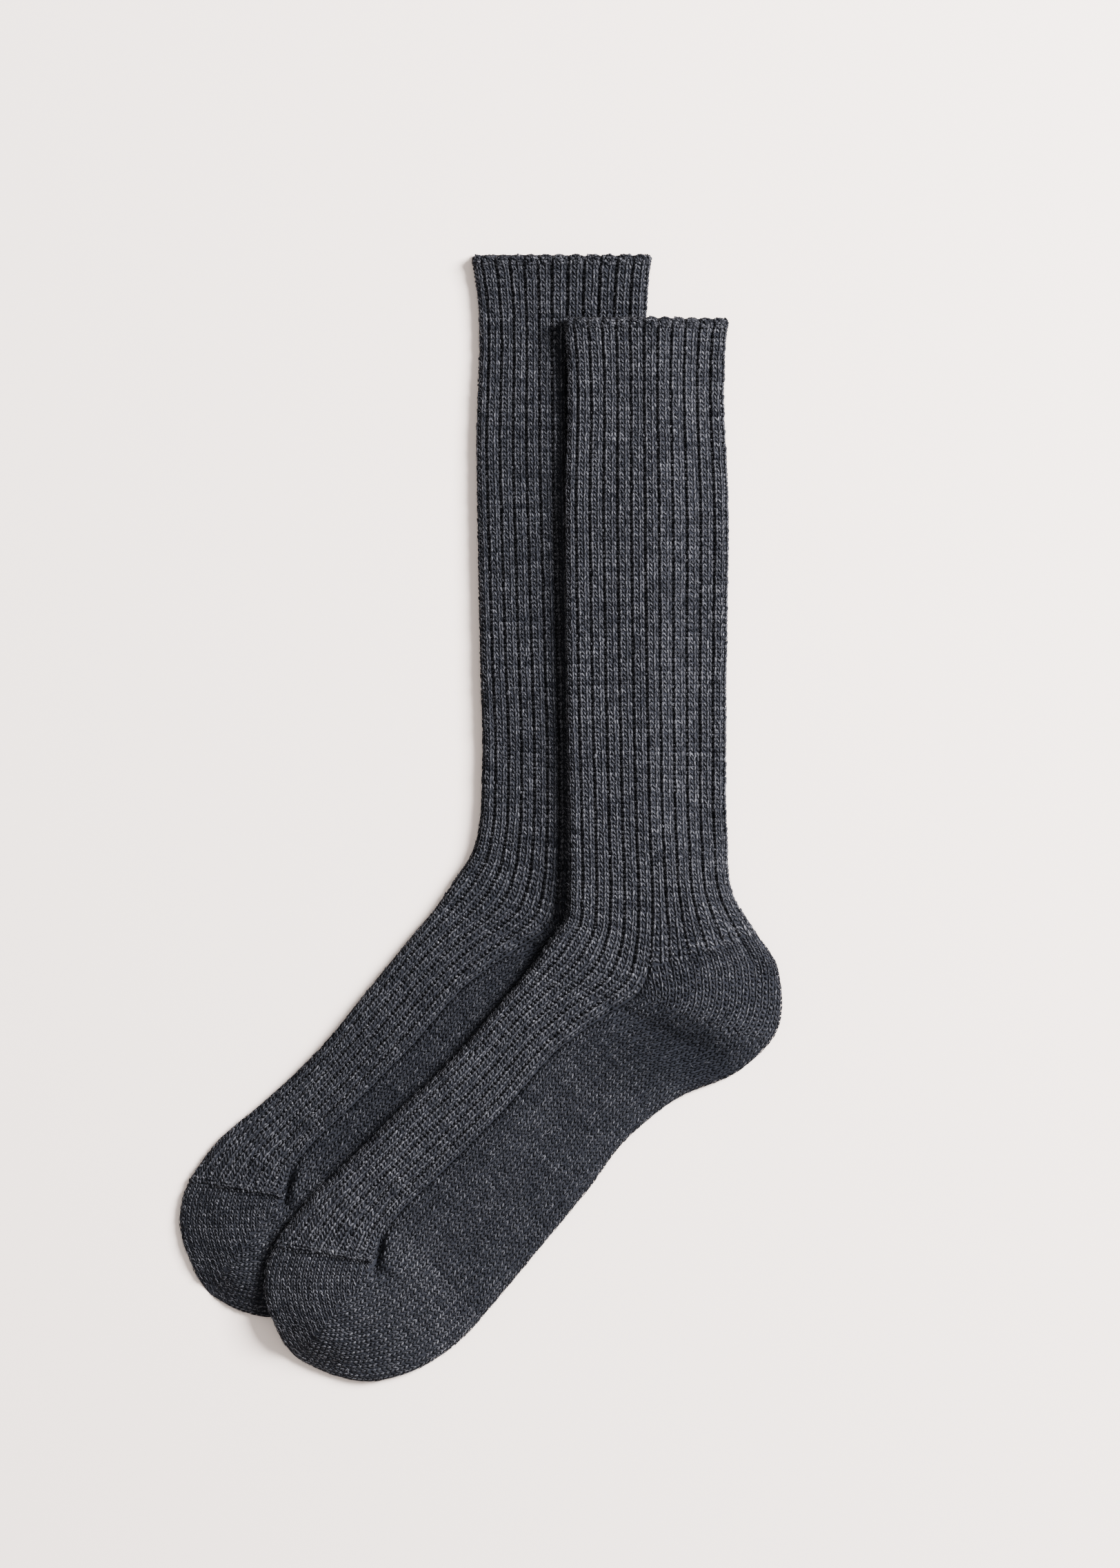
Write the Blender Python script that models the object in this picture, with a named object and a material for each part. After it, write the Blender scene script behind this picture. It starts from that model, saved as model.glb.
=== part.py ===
"""A pair of ribbed crew socks, laid flat, the one half on top of the other.

Each sock is one knitted tube: a ribbed leg that runs on down the instep, a plain heel pocket,
a plain sole and a plain toe pocket. It is modelled as a loft of flattened rings. A ring runs
across the sock from its front edge, over the side line where rib and sole meet, to its back
edge, and returns underneath. Lengths in the tables are millimetres: X to the right and Y towards
the cuffs, from the middle of the pair; Z is up from the table.
"""

import bmesh
import bpy
import numpy as np

MM = 0.001

# The cloth
WALL_UPPER = 3.0          # upper layer of cloth, measured at a rib's crest
WALL_LOWER = 2.6          # lower layer, plain because it lies flat
WALL_EDGE = 2.7           # cloth at the two folded edges
RIB_DEPTH = 1.3           # from a rib's crest down to the purl groove beside it
SHOULDER_DEPTH = 0.25     # how far a rib's shoulders lie below its crest
SHOULDER = 0.22           # where the shoulders are, as a share of the rib pitch
RIBS_PER_HALF = 6         # ribs between the front edge and the side line, and from there back
LAST_GROOVE = 0.98        # the last groove, as a share of the way from the side line to the back
SCALLOP = 0.8             # how far the rim stands up over each rib
RIM_PEEK = 1.5            # how far the lower layer's rim shows past the upper one at the front

# How the pair lies
UNDER_SHIFT = (-37.2, 25.8)   # from a place on the upper sock to the same one on the lower sock
LAY_GAP = 0.35                # between the lower sock's crests and the cloth lying on them
DRAPE_START = 1.5             # the upper sock leaves the lower one this far outside its edge
DRAPE_REACH = 28.0            # and comes down to the table over this width
UNDER_THICK = 7.0             # the lower sock, pressed flat by the upper one

# One row for each section across the upper sock, from cuff to toe. front, side and back are the
# points where it meets the front edge, the side line and the back edge. thick is both layers at
# the crests, rib_front and rib_back the share of the rib depth on each half, first the first
# groove as a share of front to side, rings the rings up to the next row. under_front, under_side
# and under_back are how much further right the lower sock's three points lie there.
COLUMNS = ("name", "front_x", "front_y", "side_x", "side_y", "back_x", "back_y", "thick",
           "rib_front", "rib_back", "first", "rings", "under_front", "under_side", "under_back")
SECTIONS = (
    ("rim",         34.5, 201.5,  66.5, 202.0, 100.5, 202.0, 6.0, 0.35, 0.35, 0.115, 1, -0.3, 0, 6.0),
    ("rim roll",    34.3, 200.2,  66.5, 200.6, 100.7, 200.6, 7.1, 0.45, 0.45, 0.115, 1, -0.3, 0, 6.0),
    ("cuff",        34.6, 197.0,  66.5, 197.2, 100.3, 197.2, 6.8, 1.0,  1.0,  0.12,  3,  0.0, 0, 6.0),
    ("calf",        34.5, 119.5,  67.0, 119.5, 101.0, 119.5, 7.0, 1.0,  1.0,  0.14,  3,  1.2, 0, 4.0),
    ("shin",        35.0,  38.5,  68.0,  38.5, 100.0,  38.5, 7.0, 1.0,  1.0,  0.165, 2,  2.2, 1, 3.0),
    ("ankle",       35.5,  -3.5,  69.0,  -6.5, 100.5,  -8.0, 7.0, 1.0,  1.0,  0.18,  2,  2.5, 1, 0.0),
    ("heel start",  35.5, -29.0,  70.0, -31.5, 103.0, -31.5, 7.2, 1.0,  1.0,  0.18,  2,  1.2, 0, 0.0),
    ("heel top",    34.5, -40.0,  69.5, -51.0, 112.0, -46.0, 7.8, 1.0,  0.5,  0.18,  2, -0.8, 0, 0.0),
    ("heel back",   30.5, -46.0,  68.0, -63.0, 121.2, -61.5, 8.4, 1.0,  0.0,  0.17,  3, -0.5, 0, 0.0),
    ("heel gore",   27.0, -51.0,  64.5, -70.0, 121.0, -85.5, 8.6, 1.0,  0.0,  0.17,  3, -0.4, 0, 0.0),
    ("heel base",   23.0, -57.0,  59.5, -74.0, 108.0, -100.5, 8.4, 1.0, 0.0,  0.16,  3, -0.3, 0, 0.0),
    ("arch",        18.0, -63.5,  47.0, -82.0,  81.5, -113.0, 7.8, 1.0, 0.0,  0.16,  2,  0.0, 0, 0.0),
    ("mid foot",     9.5, -73.5,  31.5, -93.5,  62.5, -127.5, 7.4, 0.9, 0.0,  0.16,  2,  0.0, 0, 0.0),
    ("fore foot",  -10.0, -96.0,  10.5, -117.0, 43.0, -152.0, 7.4, 0.9, 0.0,  0.16,  2,  1.0, 0, 0.0),
    ("ball",       -35.5, -120.5, -15.0, -142.5, 19.0, -181.0, 7.5, 0.8, 0.0, 0.17,  2,  6.2, 0, 0.0),
    ("toe root",   -57.0, -142.0, -34.5, -162.0,  0.5, -203.0, 7.8, 0.7, 0.0, 0.17,  1,  4.8, 0, 0.0),
    ("seam root",  -71.5, -156.5, -38.0, -168.5, -3.0, -207.0, 7.9, 0.5, 0.0, 0.17,  1,  2.3, 0, 0.0),
    ("toe seam",   -83.0, -172.5, -40.0, -175.0, -6.5, -210.5, 8.0, 0.1, 0.0, 0.17,  2,  2.4, 0, 0.0),
    ("toe 1",      -87.0, -185.5, -48.0, -185.5, -15.0, -217.5, 8.2, 0.0, 0.0, 0.17, 2,  2.4, 0, 0.0),
    ("toe 2",      -86.0, -197.0, -56.5, -196.5, -29.0, -225.0, 8.2, 0.0, 0.0, 0.17, 2,  2.4, 0, 0.0),
    ("toe 3",      -83.0, -205.0, -64.0, -205.5, -46.5, -228.5, 8.0, 0.0, 0.0, 0.17, 2,  2.4, 0.6, 0.0),
    ("toe 4",      -80.0, -211.5, -70.0, -213.0, -62.0, -225.0, 7.6, 0.0, 0.0, 0.17, 3,  2.2, 1.3, 0.5),
    ("toe tip",    -76.8, -216.0, -75.2, -217.8, -73.0, -219.6, 7.4, 0.0, 0.0, 0.17, 0,  2.0, 1.8, 1.4),
)
TIP_SHARE = 0.97          # how far round the toe's edge the last ring lies, short of its point
HOLLOW_END = "toe 4"      # the section where the inside of the tube ends

# Points across one ring, as shares of front to side and of side to back
FOLD_ANGLES = (0, 30, 60)                    # degrees up each folded edge from its outermost line
FLAT_SHARES = {"sock_over": (0.2, 0.4, 0.6, 0.8), "sock_under": (0.35, 0.7)}

WOOL_COLOUR = (0.058, 0.063, 0.076, 1.0)     # charcoal melange, linear
WOOL_ROUGHNESS = 0.95


def column(name):
    """One column of the section table as an array."""
    place = COLUMNS.index(name)
    return np.array([row[place] for row in SECTIONS], dtype=object if name == "name" else float)


def smooth(stations, values, at):
    """A curve through the table's values, with no corner at a row."""
    steps = np.diff(stations)
    slopes = np.diff(values) / steps
    tangents = np.empty(len(values))
    tangents[0], tangents[-1] = slopes[0], slopes[-1]
    tangents[1:-1] = (steps[:-1] * slopes[1:] + steps[1:] * slopes[:-1]) / (steps[:-1] + steps[1:])
    span = np.clip(np.searchsorted(stations, at, side="right") - 1, 0, len(steps) - 1)
    step = steps[span]
    part = (at - stations[span]) / step
    return ((1 + 2 * part) * (1 - part) ** 2 * values[span]
            + part * (1 - part) ** 2 * step * tangents[span]
            + part ** 2 * (3 - 2 * part) * values[span + 1]
            + part ** 2 * (part - 1) * step * tangents[span + 1])


def section_stations():
    """Where each row lies along the sock: the mean way that its three points have come."""
    ways = []
    for point in ("front", "side", "back"):
        ways.append(np.hypot(np.diff(column(point + "_x")), np.diff(column(point + "_y"))))
    return np.concatenate([[0.0], np.cumsum(np.mean(ways, axis=0))])


def ring_stations():
    """Evenly spaced rings in each span of the table, and closer ones round the toe's edge."""
    stations = section_stations()
    found = []
    for row, rings in enumerate(column("rings")[:-1].astype(int)):
        parts = np.arange(rings) / rings
        if row == len(SECTIONS) - 2:
            parts = TIP_SHARE * np.sin(np.linspace(0, np.pi / 2, rings + 1))
        found.extend(stations[row] + parts * (stations[row + 1] - stations[row]))
    return np.array(found)


def sections_at(sock, at):
    """The section table read at any stations, as one dictionary of arrays."""
    stations = section_stations()
    found = {name: smooth(stations, column(name), at) for name in COLUMNS[1:]}
    for name in ("rib_front", "rib_back"):
        found[name] = np.clip(found[name], 0.0, 1.0)
    if sock == "sock_under":
        for point in ("front", "side", "back"):
            found[point + "_x"] = found[point + "_x"] + UNDER_SHIFT[0] + found["under_" + point]
            found[point + "_y"] = found[point + "_y"] + UNDER_SHIFT[1]
        found["thick"] = np.minimum(found["thick"], UNDER_THICK)
    nose = np.clip((at - stations[-2]) / (stations[-1] - stations[-2]), 0.0, 1.0)
    found["thick"] = found["thick"] * np.sqrt(1 - nose ** 2)
    return found


def rib_points(first, pitch, count, depth):
    """Across a run of ribs: each groove, then the rib's two shoulders with its crest between."""
    across, down = [], []
    for groove in range(count):
        at = first + groove * pitch
        across += [at, at + SHOULDER * pitch, at + 0.5 * pitch, at + (1 - SHOULDER) * pitch]
        down += [depth, SHOULDER_DEPTH * depth / RIB_DEPTH, 0.0, SHOULDER_DEPTH * depth / RIB_DEPTH]
    return across, down


def upper_line(ring):
    """The upper side of one ring, front to back: way across, and depth below the crest line."""
    to_side, to_back = ring["to_side"], ring["to_back"]
    front_depth = RIB_DEPTH * ring["rib_front"]
    back_depth = RIB_DEPTH * ring["rib_back"]
    folds = [ring["half"] * (1 - np.cos(np.radians(angle))) for angle in FOLD_ANGLES]
    first = ring["first"] * to_side
    pitch = (to_side - first) / (RIBS_PER_HALF - 1)
    ribs, depths = rib_points(first, pitch, RIBS_PER_HALF - 1, front_depth)
    across = folds + [first - SHOULDER * pitch] + ribs
    down = [0.0] * len(folds) + [SHOULDER_DEPTH * ring["rib_front"]] + depths
    back_pitch = LAST_GROOVE * to_back / RIBS_PER_HALF
    ribs, depths = rib_points(to_side, back_pitch, RIBS_PER_HALF, back_depth)
    depths[0] = front_depth
    across += ribs + [to_side + LAST_GROOVE * to_back, to_side + to_back]
    down += depths + [back_depth, 0.0]
    return np.array(across), np.array(down)


def edge_height(across, width, half):
    """Height over the middle of a flattened ring with round edges, and its outward normal."""
    near = np.minimum(across, width - across)
    cosine = np.clip((half - near) / half, 0.0, 1.0)
    sine = np.sqrt(1 - cosine ** 2)
    outward = np.where(across < width / 2, -1.0, 1.0)
    return half * sine, outward * cosine, sine


def plan_point(ring, across):
    """The place on the table of a way across the ring, which turns at the side line."""
    on_front = across < ring["to_side"]
    share = np.where(on_front, across / ring["to_side"],
                     (across - ring["to_side"]) / ring["to_back"])
    start = np.where(on_front[:, None], ring["front"], ring["side"])
    end = np.where(on_front[:, None], ring["side"], ring["back"])
    return start + share[:, None] * (end - start)


def outer_ring(ring, shares):
    """The outside of one ring: over the top from front to back, then back underneath."""
    width, half = ring["width"], ring["half"]
    across, down = upper_line(ring)
    height, lean, rise = edge_height(across, width, half)
    upper = plan_point(ring, across - lean * down)
    upper_z = half + height - rise * down
    folds = [half * (1 - np.cos(np.radians(angle))) for angle in FOLD_ANGLES[1:]]
    flats = [share * ring["to_side"] for share in shares] + [ring["to_side"]]
    flats += [ring["to_side"] + share * ring["to_back"] for share in shares]
    under_across = np.array(folds + flats + [width - fold for fold in reversed(folds)])[::-1]
    height, _, _ = edge_height(under_across, width, half)
    under = plan_point(ring, under_across)
    if ring["is_rim"]:
        crest = 1 - down / max(down.max(), 1e-6)
        upper[:, 1] += SCALLOP * crest
        under[:, 1] += RIM_PEEK * (1 - under_across / width)
    return np.column_stack([np.vstack([upper, under]), np.concatenate([upper_z, half - height])])


def inner_ring(ring, shares):
    """The plain inside of one ring, in the same order as the outside."""
    width, half = ring["width"], ring["half"]
    span_front = ring["to_side"] - WALL_EDGE
    span_back = ring["to_back"] - WALL_EDGE
    ways = [WALL_EDGE + share * span_front for share in shares] + [ring["to_side"]]
    ways += [ring["to_side"] + share * span_back for share in shares]
    ways = np.array(ways)
    tips = np.array([WALL_EDGE, width - WALL_EDGE])
    upper = plan_point(ring, ways)
    lower = upper[::-1]
    tip_plan = plan_point(ring, tips)
    plan = np.vstack([tip_plan[:1], upper, tip_plan[1:], lower])
    heights = np.concatenate([[half], np.full(len(ways), 2 * half - WALL_UPPER), [half],
                              np.full(len(ways), WALL_LOWER)])
    return np.column_stack([plan, heights])


def rings_of(sock):
    """Every ring of one sock, as its three edge points, its widths and its rib depths."""
    at = ring_stations()
    table = sections_at(sock, at)
    rings = []
    for index in range(len(at)):
        ring = {name: table[name][index] for name in ("thick", "rib_front", "rib_back", "first")}
        for point in ("front", "side", "back"):
            ring[point] = np.array([table[point + "_x"][index], table[point + "_y"][index]])
        ring["to_side"] = np.linalg.norm(ring["side"] - ring["front"])
        ring["to_back"] = np.linalg.norm(ring["back"] - ring["side"])
        ring["width"] = ring["to_side"] + ring["to_back"]
        ring["half"] = ring["thick"] / 2
        ring["is_rim"] = index == 0
        ring["hollow"] = at[index] <= section_stations()[list(column("name")).index(HOLLOW_END)]
        rings.append(ring)
    return rings


def lay_height(points):
    """How high the lower sock holds the upper one at each place on the table."""
    at = np.linspace(0, section_stations()[-1], 400)
    edge = sections_at("sock_under", at)
    line = np.column_stack([edge["back_x"], edge["back_y"]])
    ways = np.diff(line, axis=0)
    lengths = np.maximum((ways ** 2).sum(axis=1), 1e-12)
    heights = np.empty(len(points))
    for index, point in enumerate(points):
        offset = point - line[:-1]
        share = np.clip((offset * ways).sum(axis=1) / lengths, 0, 1)
        away = offset - share[:, None] * ways
        distance = np.hypot(away[:, 0], away[:, 1])
        near = distance.argmin()
        outside = ways[near, 0] * away[near, 1] - ways[near, 1] * away[near, 0] > 0
        part = (distance[near] - DRAPE_START) / DRAPE_REACH if outside else 0.0
        part = min(max(part, 0.0), 1.0)
        heights[index] = (UNDER_THICK + LAY_GAP) * (1 - part * part * (3 - 2 * part))
    return heights


def loft(bm, loops):
    """Quads between each loop of points and the next; returns the first and the last loop."""
    rows = [[bm.verts.new(point * MM) for point in loop] for loop in loops]
    for this, following in zip(rows, rows[1:]):
        for left in range(len(this)):
            right = (left + 1) % len(this)
            bm.faces.new((this[left], following[left], following[right], this[right]))
    return rows[0], rows[-1]


def cap(bm, loop):
    """Closes the end of a tube from its middle."""
    centre = bm.verts.new(sum((vert.co for vert in loop), loop[0].co * 0) / len(loop))
    for left in range(len(loop)):
        bm.faces.new((loop[left], centre, loop[(left + 1) % len(loop)]))


def join_rim(bm, outer, inner):
    """The rim's narrow face from the outside to the inside, matched by the way round."""
    loops = []
    for loop in (outer, inner):
        sides = [(loop[i].co - loop[i - 1].co).length for i in range(len(loop))]
        loops.append(np.cumsum([0.0] + sides[1:]) / sum(sides))
    place = [0, 0]
    while place[0] < len(outer) or place[1] < len(inner):
        turn_outer = place[1] == len(inner) or (
            place[0] < len(outer)
            and np.append(loops[0], 1.0)[place[0] + 1] <= np.append(loops[1], 1.0)[place[1] + 1])
        here, there = outer[place[0] % len(outer)], inner[place[1] % len(inner)]
        if turn_outer:
            bm.faces.new((here, outer[(place[0] + 1) % len(outer)], there))
            place[0] += 1
        else:
            bm.faces.new((here, inner[(place[1] + 1) % len(inner)], there))
            place[1] += 1


def wool():
    """Charcoal wool knit: matt and dark."""
    material = bpy.data.materials.new("charcoal wool knit")
    material.use_nodes = True
    shader = material.node_tree.nodes["Principled BSDF"]
    shader.inputs["Base Color"].default_value = WOOL_COLOUR
    shader.inputs["Roughness"].default_value = WOOL_ROUGHNESS
    shader.inputs["Metallic"].default_value = 0.0
    return material


def make_sock(name, material):
    """One sock: the outer rings, the hollow inside them, the rim that joins both, the toe."""
    rings = rings_of(name)
    shares = FLAT_SHARES[name]
    outer = [outer_ring(ring, shares) for ring in rings]
    inner = [inner_ring(ring, shares) for ring in rings if ring["hollow"]]
    if name == "sock_over":
        for loop in outer + inner:
            loop[:, 2] += lay_height(loop[:, :2])
    bm = bmesh.new()
    rim_outer, toe = loft(bm, outer)
    rim_inner, toe_inside = loft(bm, inner)
    cap(bm, toe)
    cap(bm, toe_inside)
    join_rim(bm, rim_outer, rim_inner)
    bmesh.ops.recalc_face_normals(bm, faces=bm.faces)
    mesh = bpy.data.meshes.new(name)
    bm.to_mesh(mesh)
    bm.free()
    mesh.materials.append(material)
    mesh.shade_smooth()
    sock = bpy.data.objects.new(name, mesh)
    bpy.context.scene.collection.objects.link(sock)
    return sock


def main():
    """Clears the scene and makes the two socks."""
    for thing in list(bpy.data.objects):
        bpy.data.objects.remove(thing, do_unlink=True)
    material = wool()
    for name in ("sock_under", "sock_over"):
        make_sock(name, material)


main()
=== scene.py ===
"""Looks for a laid pair of ribbed wool crew socks.

Each sock is a thin knitted shell on its solid's form, covered with its stitches: two legs of
yarn for every knit stitch, laid wale by wale over ribs, heel pocket, sole and toe pocket.
Lengths are millimetres, as in the sections' table, and MM turns them to metres.
"""

import bpy
import numpy as np
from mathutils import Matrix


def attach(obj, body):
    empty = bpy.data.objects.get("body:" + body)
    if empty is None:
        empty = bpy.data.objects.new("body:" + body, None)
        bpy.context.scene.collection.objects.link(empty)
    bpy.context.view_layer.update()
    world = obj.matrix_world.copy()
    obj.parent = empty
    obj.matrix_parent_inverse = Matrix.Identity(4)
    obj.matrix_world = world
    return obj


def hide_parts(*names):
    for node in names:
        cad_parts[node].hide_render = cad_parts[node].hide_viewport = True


MM = 0.001

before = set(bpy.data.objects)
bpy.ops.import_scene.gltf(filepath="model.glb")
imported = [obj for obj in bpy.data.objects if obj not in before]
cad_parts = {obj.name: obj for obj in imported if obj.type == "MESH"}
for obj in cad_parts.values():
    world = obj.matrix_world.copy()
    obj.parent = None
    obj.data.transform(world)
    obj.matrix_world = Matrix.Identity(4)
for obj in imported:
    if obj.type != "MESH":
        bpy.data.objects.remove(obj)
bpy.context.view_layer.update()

# The cloth
WALL_UPPER = 3.0  # upper layer of cloth at a rib's crest
WALL_LOWER = 2.6  # lower layer
WALL_EDGE = 2.7  # cloth at the two folded edges
RIB_DEPTH = 1.3  # from a rib's crest down to the purl groove beside it
STEEP_FLANK = 0.16  # how far a groove's flank reaches towards the back, in rib pitches
GENTLE_FLANK = 0.34  # and towards the front
RIB_EDGE = 0.08  # of the rib pitch on each side of a groove holds no knit stitch
RIBS_PER_HALF = 6  # ribs between the front edge and the side line, and from there back
LAST_GROOVE = 0.98  # the last groove, as a share of the way from the side line to the back
PLAIN_BAND = 3.0  # the ribs end this far before the toe seam
RIB_FADE = 4.0  # and fade out over this length before that
GROOVE_START = 0.5  # a groove starts this far under a fold
GROOVE_GROW = 2.5  # and reaches its full depth over this way
GROOVE_LIMIT = 0.8  # share of half the height a groove may take
SEAM_SLANT = 5.0  # how much further down the foot the seam is at its side end
SEAM_RISE = 0.5  # how far the seam stands up
SEAM_WIDE = 1.5  # half the width of its ridge, and of the trough past it
SEAM_TROUGH = 0.4  # depth of that trough
SEAM_TROUGH_AT = 2.6  # and how far past the seam it lies
SEAM_EASE = 5.0  # both end over this way before the side line
SCALLOP = 0.8  # how far the rim stands up over each rib
RIM_PEEK = 1.5  # how far the lower layer's rim shows past the upper one at the front
RIM_DEEP = 3.0  # how far down the leg the rim's scallops reach
GROOVE_EXTRA = 0.1  # the grooves between stitches go this much deeper than the solid's
SHELL_SINK = 0.55  # the shell lies this far below the crests of its stitches
SHELL_TOP = 128  # points over the shell's upper side
SHELL_BOTTOM = 16  # and along its flat underside
SHELL_STEP = 2.5  # between its rings
SEAM_RING_STEP = 0.8  # and between its rings near the toe seam
NOSE = 1.5  # length of the rounded end of the toe
NOSE_END = 0.02  # the last ring lies this far before the tip
HOLLOW_RINGS = 4  # every fourth ring of the outside has one inside

# How the pair lies
UNDER_SHIFT = (-37.2, 25.8)  # from a place on the upper sock to the same one on the lower sock
LAY_GAP = 0.35  # between the lower sock's crests and the cloth lying on them
DRAPE_START = 1.5  # the upper sock leaves the lower one this far outside its edge
DRAPE_REACH = 28.0  # and comes down to the table over this width
UNDER_THICK = 7.0  # the lower sock, pressed flat by the upper one

# One row for each section across the upper sock, from cuff to toe. front, side and back are the
# points where it meets the front edge, the side line and the back edge. thick is both layers at
# the crests, rib_front and rib_back the share of the rib depth on each half, first the first
# groove as a share of front to side. under_front, under_side and under_back are how much further
# right the lower sock's three points lie there.
COLUMNS = ("name", "front_x", "front_y", "side_x", "side_y", "back_x", "back_y", "thick",
           "rib_front", "rib_back", "first", "under_front", "under_side", "under_back")
SECTIONS = (
    ("rim", 34.5, 201.5, 66.5, 202.0, 100.5, 202.0, 6.0, 0.35, 0.35, 0.115, -0.3, 0, 6.0),
    ("rim roll", 34.3, 200.2, 66.5, 200.6, 100.7, 200.6, 7.1, 0.45, 0.45, 0.115, -0.3, 0, 6.0),
    ("cuff", 34.6, 197.0, 66.5, 197.2, 100.3, 197.2, 6.8, 1.0, 1.0, 0.12, 0.0, 0, 6.0),
    ("calf", 34.5, 119.5, 67.0, 119.5, 101.0, 119.5, 7.0, 1.0, 1.0, 0.14, 1.2, 0, 4.0),
    ("shin", 35.0, 38.5, 68.0, 38.5, 100.0, 38.5, 7.0, 1.0, 1.0, 0.165, 2.2, 1, 3.0),
    ("ankle", 35.5, -3.5, 69.0, -6.5, 100.5, -8.0, 7.0, 1.0, 1.0, 0.18, 2.5, 1, 0.0),
    ("heel start", 35.5, -29.0, 70.0, -31.5, 103.0, -31.5, 7.2, 1.0, 1.0, 0.18, 1.2, 0, 0.0),
    ("heel top", 34.5, -40.0, 69.5, -51.0, 112.0, -46.0, 7.8, 1.0, 0.5, 0.18, -0.8, 0, 0.0),
    ("heel back", 30.5, -46.0, 68.0, -63.0, 121.2, -61.5, 8.4, 1.0, 0.0, 0.17, -0.5, 0, 0.0),
    ("heel gore", 27.0, -51.0, 64.5, -70.0, 121.0, -85.5, 8.6, 1.0, 0.0, 0.17, -0.4, 0, 0.0),
    ("heel base", 23.0, -57.0, 59.5, -74.0, 108.0, -100.5, 8.4, 1.0, 0.0, 0.16, -0.3, 0, 0.0),
    ("arch", 18.0, -63.5, 47.0, -82.0, 81.5, -113.0, 7.8, 1.0, 0.0, 0.16, 0.0, 0, 0.0),
    ("mid foot", 9.5, -73.5, 31.5, -93.5, 62.5, -127.5, 7.4, 0.9, 0.0, 0.16, 0.0, 0, 0.0),
    ("fore foot", -10.0, -96.0, 10.5, -117.0, 43.0, -152.0, 7.4, 0.9, 0.0, 0.16, 1.0, 0, 0.0),
    ("ball", -35.5, -120.5, -15.0, -142.5, 19.0, -181.0, 7.5, 0.8, 0.0, 0.17, 6.2, 0, 0.0),
    ("toe root", -57.0, -142.0, -34.5, -162.0, 0.5, -203.0, 7.8, 0.7, 0.0, 0.17, 4.8, 0, 0.0),
    ("seam root", -71.5, -156.5, -38.0, -168.5, -3.0, -207.0, 7.9, 0.5, 0.0, 0.17, 2.3, 0, 0.0),
    ("toe seam", -83.0, -172.5, -40.0, -175.0, -6.5, -210.5, 8.0, 0.1, 0.0, 0.17, 2.4, 0, 0.0),
    ("toe 1", -87.0, -185.5, -48.0, -185.5, -15.0, -217.5, 8.2, 0.0, 0.0, 0.17, 2.4, 0, 0.0),
    ("toe 2", -86.0, -197.0, -56.5, -196.5, -29.0, -225.0, 8.2, 0.0, 0.0, 0.17, 2.4, 0, 0.0),
    ("toe 3", -83.0, -205.0, -64.0, -205.5, -46.5, -228.5, 8.0, 0.0, 0.0, 0.17, 2.4, 0.6, 0.0),
    ("toe 4", -80.0, -211.5, -70.0, -213.0, -62.0, -225.0, 7.6, 0.0, 0.0, 0.17, 2.2, 1.3, 0.5),
    ("toe tip", -76.8, -216.0, -75.2, -217.8, -73.0, -219.6, 7.4, 0.0, 0.0, 0.17, 2.0, 1.8, 1.4),
)
POINTS = ("front", "side", "back")
HOLLOW_END = "toe 4"  # the section where the inside of the tube ends
SOCKS = ("sock_under", "sock_over")

# Where the cloth sinks: towards its back edge below the heel, at the toe, and in soft troughs
EDGE_SINK = 0.44  # share of the height lost at the edge
EDGE_REACH = 20.0  # and how far in that reaches
EDGE_GROW = 30.0  # way below the heel's top until it is full
TOE_SINK = 0.45
TOE_REACH = 20.0
HOLLOW_SHADE = 0.11  # painted shade: how much darker the yarn is drawn for each millimetre of a trough
# Each trough: middle x and y, way it runs in degrees, half its length, half its width, depth
HOLLOWS = (
    (84.0, -95.0, -22.0, 23.0, 10.0, 3.2),
    (66.0, -82.0, -27.0, 26.0, 3.0, 0.9),
    (-40.5, -175.0, 78.0, 7.0, 1.8, 3.4),
    (-44.0, -181.0, 150.0, 10.0, 2.2, 0.8),
)

# The knit
COURSE = 1.76  # one row of stitches, along the sock
SOLE_COURSE = 1.82
TOE_COURSE = 1.55
SOLE_WALES = 23  # wales from the side line to the back edge
# Courses between gore and arch in the sole's first wale, and how many more its last one has
SOLE_ROWS = (11, 13)
SOLE_TURN = 0.3  # how far its wales bend towards the back edge there
HEEL_WALES = 26  # wales in the heel pocket above its gore line, with the new ones
NEW_WALES = 3  # wales that start on the side line below the last rib row
HEEL_WALES_PER_RIB = 3
HEEL_ROWS = (6, 21)  # courses in its shortest wale, and how many more its longest has
HEEL_TUCK = 1.2  # half-heights that its last wale lies under the fold
UNDER_REACH = 1.5  # and the furthest that any stitch does
TIP_CLEAR = 0.6  # no stitch starts nearer the toe's tip
SEAM_CLEAR = 0.5  # nor any of the toe pocket's nearer its seam
GORE_OVER = 0.7  # the heel's stitches run this far past the gore line
GORE_BEFORE = 0.2  # and the sole's start this far before it
TOE_WALE = 2.2  # one wale of the toe pocket's upper side
FOLD_WALE = 2.0  # one wale where the sole runs on round its folded edge

# Each knit stitch is two legs of yarn. Where each leg starts and ends, in wales from the middle
# of the stitch and in courses; its width as a share of the wale, and its tone, which is painted
# light and shade for how much light that leg catches. In a rib the two wales lean apart, so each
# has legs of its own.
PLAIN_LEGS = (
    (-0.10, -0.40, 0.58, 0.30, -0.13),
    (0.00, 0.42, 0.62, 0.36, -0.01),
)
HEEL_LEGS = (
    (-0.20, -0.38, 0.60, 0.30, -0.03),
    (0.02, 0.40, 0.52, 0.36, -0.08),
)
RIB_LEFT_LEGS = (
    (-0.28, -0.44, 0.62, 0.30, 0.02),
    (-0.14, 0.44, 0.50, 0.36, -0.01),
)
RIB_RIGHT_LEGS = (
    (-0.26, -0.36, 0.62, 0.36, 0.0),
    (0.02, 0.36, 0.58, 0.36, -0.03),
)
LEG_WIDTHS = (0.94, 1.1)  # a leg's least and greatest, as shares
LEG_LENGTHS = (0.92, 1.15)
LEG_STRAY = 0.10  # how far legs lie from their places
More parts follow.
